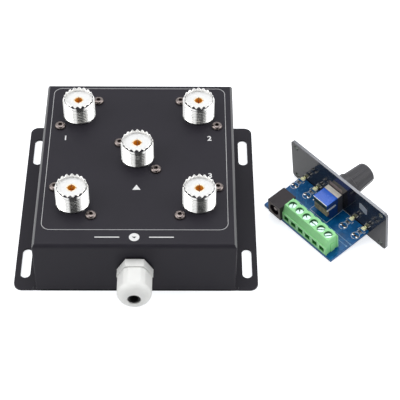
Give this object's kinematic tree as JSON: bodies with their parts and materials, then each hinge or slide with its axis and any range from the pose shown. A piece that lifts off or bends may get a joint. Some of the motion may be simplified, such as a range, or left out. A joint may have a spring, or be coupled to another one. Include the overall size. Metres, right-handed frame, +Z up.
{
  "type": "coaxial antenna switch",
  "caption": "Remote coaxial antenna switch: black slotted-foot relay box with UHF sockets and a cable gland, and an open dial controller with screw terminal and power jack.",
  "frame": {"origin": "centre of the relay box's footprint, in the plane of its feet", "axes": "+Z up out of the cover with the sockets, -Y out of the wall with the cable gland, +X towards the controller that stands beside the box"},
  "size_m": [0.1812, 0.1297, 0.0438],
  "materials": {
    "cover": "satin powder coat",
    "bottom": "satin powder coat",
    "nickel": "bright nickel plate",
    "insulator": "smooth",
    "contact": "gold flashed",
    "screw_dark": "plain steel",
    "steel": "zinc plated",
    "iron": "bare iron",
    "relay_black": "moulded",
    "coil": "wound copper wire",
    "board_blue": "solder mask on fibreglass",
    "terminal_green": "moulded",
    "gland_white": "moulded nylon",
    "rubber_black": "matt",
    "panel": "dark solder mask",
    "switch_blue": "moulded",
    "knob": "moulded",
    "jack_black": "moulded",
    "led": "clear resin",
    "resistor": "ceramic with tinned ends"
  },
  "bodies": {
    "fixed_set": {"top_cover": "cover", "bottom_cover": "bottom", "board_pillars": "steel", "pillar_screws": "steel", "socket_1_shell": "nickel", "socket_2_shell": "nickel", "socket_3_shell": "nickel", "socket_4_shell": "nickel", "socket_main_shell": "nickel", "socket_insulators": "insulator", "socket_contacts": "contact", "socket_screws": "screw_dark", "socket_spacers": "steel", "socket_nuts": "steel", "relay_bases": "relay_black", "relay_cases": "relay_black", "relay_coils": "coil", "relay_yokes": "iron", "relay_contacts": "contact", "relay_board": "board_blue", "inner_terminal_housing": "terminal_green", "inner_terminal_screws": "steel", "inner_terminal_clamps": "steel", "inner_terminal_pins": "steel", "gland_body": "gland_white", "gland_gasket": "rubber_black", "gland_lock_nut": "gland_white", "front_panel": "panel", "controller_board": "board_blue", "switch_frame": "steel", "switch_case": "switch_blue", "switch_pins": "steel", "shaft_nut": "nickel", "dc_jack_body": "jack_black", "dc_jack_contacts": "contact", "terminal_housing": "terminal_green", "terminal_pins": "steel", "status_leds": "led", "led_resistors": "resistor"},
    "selector": {"selector_shaft": "steel", "selector_knob": "knob", "knob_grub_screw": "steel"},
    "cable_seal": {"gland_seal": "rubber_black"},
    "dome_nut": {"gland_dome_nut": "gland_white"},
    "relay_armature_1": {"armature_1": "iron"},
    "relay_armature_2": {"armature_2": "iron"},
    "relay_armature_3": {"armature_3": "iron"},
    "relay_armature_4": {"armature_4": "iron"},
    "clamp_screw_1": {"terminal_screw_1": "steel"},
    "clamp_cage_1": {"wire_clamp_1": "steel"},
    "clamp_screw_2": {"terminal_screw_2": "steel"},
    "clamp_cage_2": {"wire_clamp_2": "steel"},
    "clamp_screw_3": {"terminal_screw_3": "steel"},
    "clamp_cage_3": {"wire_clamp_3": "steel"},
    "clamp_screw_4": {"terminal_screw_4": "steel"},
    "clamp_cage_4": {"wire_clamp_4": "steel"},
    "clamp_screw_5": {"terminal_screw_5": "steel"},
    "clamp_cage_5": {"wire_clamp_5": "steel"},
    "clamp_screw_6": {"terminal_screw_6": "steel"},
    "clamp_cage_6": {"wire_clamp_6": "steel"}
  },
  "joints": [
    {"name": "selector_turn", "type": "hinge", "parent": "fixed_set", "child": "selector", "pos_m": [0.09844, -0.00351, 0.01189], "axis": [-0.7648, -0.6304, -0.1329], "range_deg": [0, 180]},
    {"name": "seal_slide", "type": "slide", "parent": "fixed_set", "child": "cable_seal", "axis": [0, -1, 0], "range_m": [0, 0.0075]},
    {"name": "dome_nut_turn", "type": "hinge", "parent": "cable_seal", "child": "dome_nut", "pos_m": [0, -0.0554, 0.0165], "axis": [0, -1, 0], "range_deg": [0, 1800]},
    {"name": "armature_1_tilt", "type": "hinge", "parent": "fixed_set", "child": "relay_armature_1", "pos_m": [-0.02413, 0.01945, 0.0114], "axis": [-1, 0, 0], "range_deg": [0, 5], "stiffness_Nm_per_rad": 0.004, "springref_deg": -11.46},
    {"name": "armature_2_tilt", "type": "hinge", "parent": "fixed_set", "child": "relay_armature_2", "pos_m": [0.02413, 0.01945, 0.0114], "axis": [-1, 0, 0], "range_deg": [0, 5], "stiffness_Nm_per_rad": 0.004, "springref_deg": -11.46},
    {"name": "armature_3_tilt", "type": "hinge", "parent": "fixed_set", "child": "relay_armature_3", "pos_m": [0.02413, -0.00245, 0.0114], "axis": [-1, 0, 0], "range_deg": [0, 5], "stiffness_Nm_per_rad": 0.004, "springref_deg": -11.46},
    {"name": "armature_4_tilt", "type": "hinge", "parent": "fixed_set", "child": "relay_armature_4", "pos_m": [-0.02413, -0.00245, 0.0114], "axis": [-1, 0, 0], "range_deg": [0, 5], "stiffness_Nm_per_rad": 0.004, "springref_deg": -11.46},
    {"name": "screw_1_turn", "type": "hinge", "parent": "fixed_set", "child": "clamp_screw_1", "pos_m": [0.07673, -0.01025, 0.00963], "axis": [0.1026, 0.0845, -0.9911], "range_deg": [0, 1370]},
    {"name": "clamp_1_rise", "type": "slide", "parent": "fixed_set", "child": "clamp_cage_1", "axis": [-0.1026, -0.0845, 0.9911], "range_m": [0, 0.0019]},
    {"name": "screw_2_turn", "type": "hinge", "parent": "fixed_set", "child": "clamp_screw_2", "pos_m": [0.07997, -0.01417, 0.00963], "axis": [0.1026, 0.0845, -0.9911], "range_deg": [0, 1370]},
    {"name": "clamp_2_rise", "type": "slide", "parent": "fixed_set", "child": "clamp_cage_2", "axis": [-0.1026, -0.0845, 0.9911], "range_m": [0, 0.0019]},
    {"name": "screw_3_turn", "type": "hinge", "parent": "fixed_set", "child": "clamp_screw_3", "pos_m": [0.0832, -0.01809, 0.00963], "axis": [0.1026, 0.0845, -0.9911], "range_deg": [0, 1370]},
    {"name": "clamp_3_rise", "type": "slide", "parent": "fixed_set", "child": "clamp_cage_3", "axis": [-0.1026, -0.0845, 0.9911], "range_m": [0, 0.0019]},
    {"name": "screw_4_turn", "type": "hinge", "parent": "fixed_set", "child": "clamp_screw_4", "pos_m": [0.08643, -0.02201, 0.00963], "axis": [0.1026, 0.0845, -0.9911], "range_deg": [0, 1370]},
    {"name": "clamp_4_rise", "type": "slide", "parent": "fixed_set", "child": "clamp_cage_4", "axis": [-0.1026, -0.0845, 0.9911], "range_m": [0, 0.0019]},
    {"name": "screw_5_turn", "type": "hinge", "parent": "fixed_set", "child": "clamp_screw_5", "pos_m": [0.08966, -0.02593, 0.00963], "axis": [0.1026, 0.0845, -0.9911], "range_deg": [0, 1370]},
    {"name": "clamp_5_rise", "type": "slide", "parent": "fixed_set", "child": "clamp_cage_5", "axis": [-0.1026, -0.0845, 0.9911], "range_m": [0, 0.0019]},
    {"name": "screw_6_turn", "type": "hinge", "parent": "fixed_set", "child": "clamp_screw_6", "pos_m": [0.09289, -0.02985, 0.00963], "axis": [0.1026, 0.0845, -0.9911], "range_deg": [0, 1370]},
    {"name": "clamp_6_rise", "type": "slide", "parent": "fixed_set", "child": "clamp_cage_6", "axis": [-0.1026, -0.0845, 0.9911], "range_m": [0, 0.0019]}
  ],
  "couplings": [
    {"joint": "dome_nut_turn", "follows": "seal_slide", "rad_per_m": 4188.8},
    {"joint": "screw_1_turn", "follows": "clamp_1_rise", "rad_per_m": 12566},
    {"joint": "screw_2_turn", "follows": "clamp_2_rise", "rad_per_m": 12566},
    {"joint": "screw_3_turn", "follows": "clamp_3_rise", "rad_per_m": 12566},
    {"joint": "screw_4_turn", "follows": "clamp_4_rise", "rad_per_m": 12566},
    {"joint": "screw_5_turn", "follows": "clamp_5_rise", "rad_per_m": 12566},
    {"joint": "screw_6_turn", "follows": "clamp_6_rise", "rad_per_m": 12566}
  ]
}
